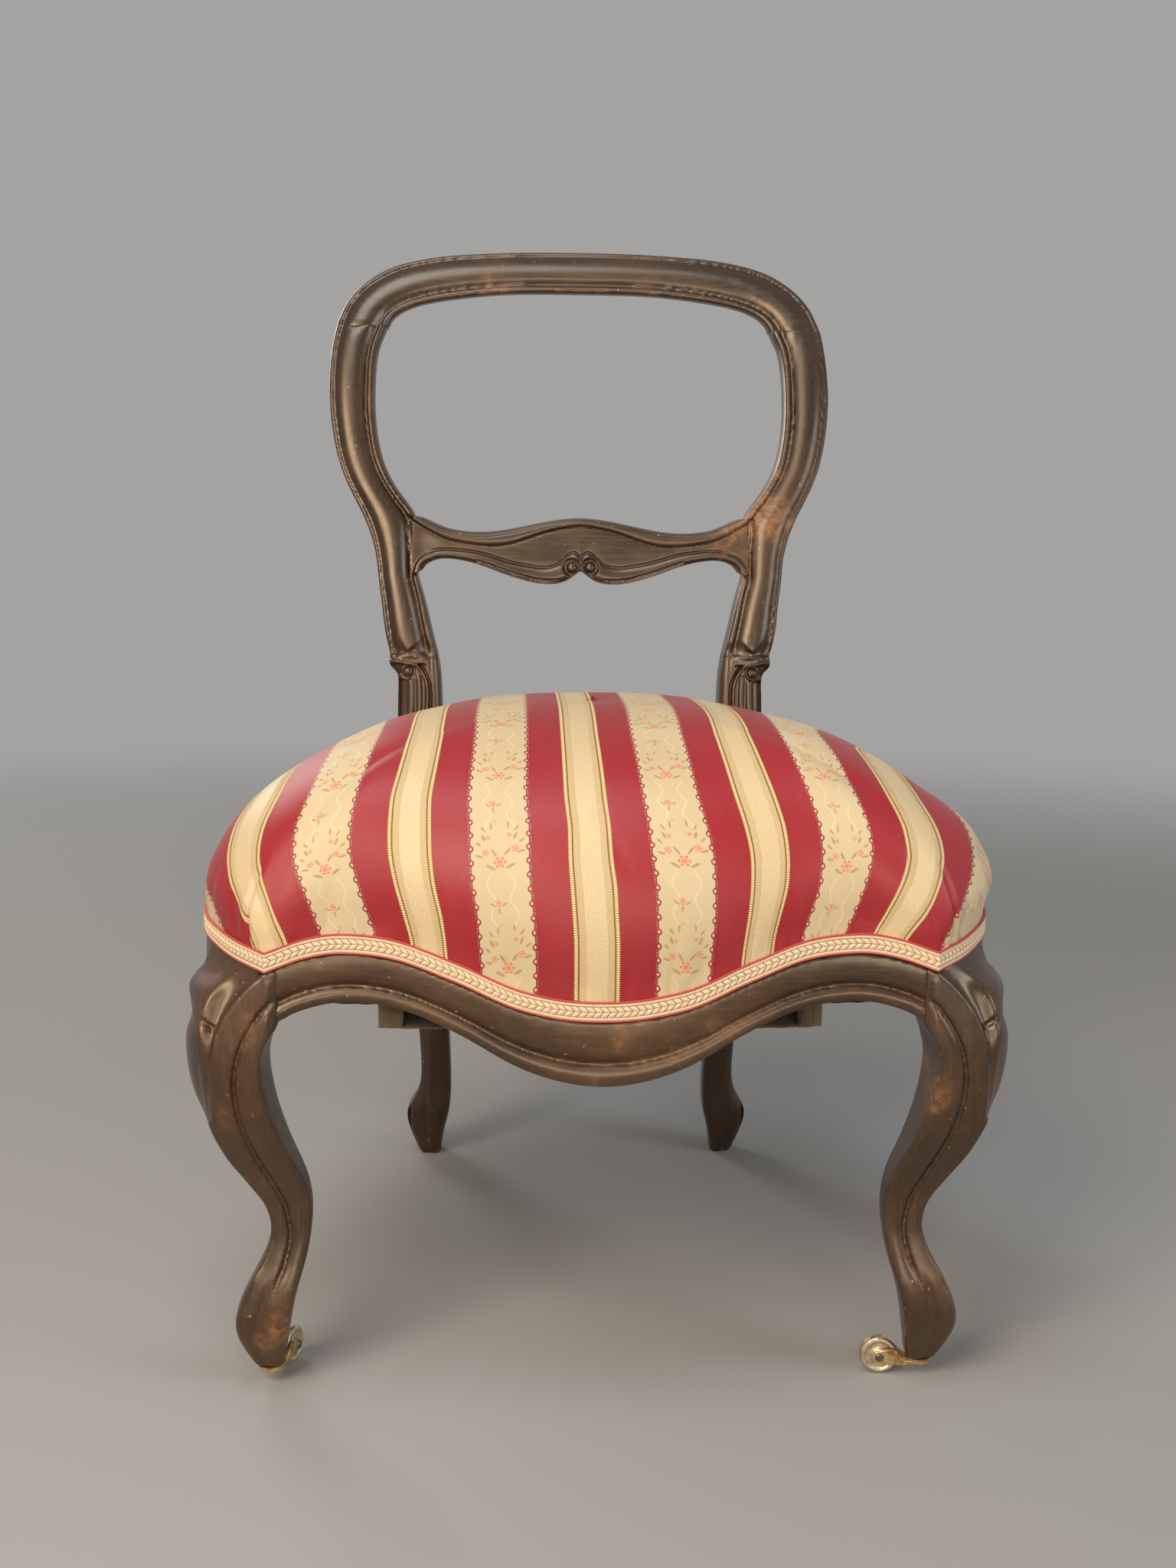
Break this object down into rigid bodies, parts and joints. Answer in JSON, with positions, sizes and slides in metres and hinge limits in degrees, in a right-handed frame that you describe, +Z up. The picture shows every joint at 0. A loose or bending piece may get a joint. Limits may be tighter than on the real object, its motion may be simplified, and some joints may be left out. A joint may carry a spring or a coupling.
{
  "type": "balloon-back side chair",
  "caption": "Low side chair with an open moulded balloon back, a carved mid rail, curved front legs on brass casters and a deep sprung seat in crimson and cream striped silk with braid",
  "frame": {"origin": "centre of the chair's plan, on the floor", "axes": "X across the chair to the sitter's left, which is right as seen from the front; Y from front to back; Z up"},
  "size_m": [0.5452, 0.5908, 0.814],
  "materials": {
    "ebonised_wood": "dark brown-black stained and french-polished hardwood, satin, rubbed reddish brown on its edges",
    "raw_wood": "unpolished hardwood, aged",
    "steel": "dull dark steel",
    "spring_wire": "coppered spring wire, dulled",
    "webbing": "woven jute webbing",
    "hessian": "open plain-woven hessian",
    "horsehair": "matted curled horsehair",
    "striped_silk": "silk satin, crimson and cream stripes with woven flowers",
    "braid": "cream and crimson plaited gimp",
    "brass": "cast brass, worn and tarnished",
    "caster_wheel": "pale worn turned brass"
  },
  "bodies": {
    "chair": {"crest_rail": "ebonised_wood", "rear_post_left": "ebonised_wood", "rear_post_right": "ebonised_wood", "mid_rail": "ebonised_wood", "front_leg_left": "ebonised_wood", "front_leg_right": "ebonised_wood", "front_rail": "ebonised_wood", "side_rail_left": "ebonised_wood", "side_rail_right": "ebonised_wood", "back_rail": "raw_wood", "corner_blocks": "raw_wood", "block_screws": "steel", "back_dowels": "raw_wood", "frame_dowels": "raw_wood", "webbing_lengthwise": "webbing", "webbing_crosswise": "webbing", "webbing_tacks": "steel", "seat_springs": "spring_wire", "spring_hessian": "hessian", "seat_stuffing": "horsehair", "seat_cover": "striped_silk", "gimp_braid": "braid", "gimp_back": "braid", "caster_plates": "brass"},
    "fork_left": {"caster_fork_left": "brass", "caster_axle_left": "steel"},
    "wheel_left": {"caster_wheel_left": "caster_wheel"},
    "fork_right": {"caster_fork_right": "brass", "caster_axle_right": "steel"},
    "wheel_right": {"caster_wheel_right": "caster_wheel"}
  },
  "joints": [
    {"name": "caster_left_swivel", "type": "hinge", "parent": "chair", "child": "fork_left", "pos_m": [-0.219, -0.24892, 0], "axis": [0, 0, 1], "continuous": true},
    {"name": "caster_left_roll", "type": "hinge", "parent": "fork_left", "child": "wheel_left", "pos_m": [-0.20977, -0.22355, 0.013], "axis": [-0.9397, 0.342, 0], "continuous": true},
    {"name": "caster_right_swivel", "type": "hinge", "parent": "chair", "child": "fork_right", "pos_m": [0.219, -0.24892, 0], "axis": [0, 0, 1], "continuous": true},
    {"name": "caster_right_roll", "type": "hinge", "parent": "fork_right", "child": "wheel_right", "pos_m": [0.19207, -0.24704, 0.013], "axis": [-0.0698, -0.9976, 0], "continuous": true}
  ]
}
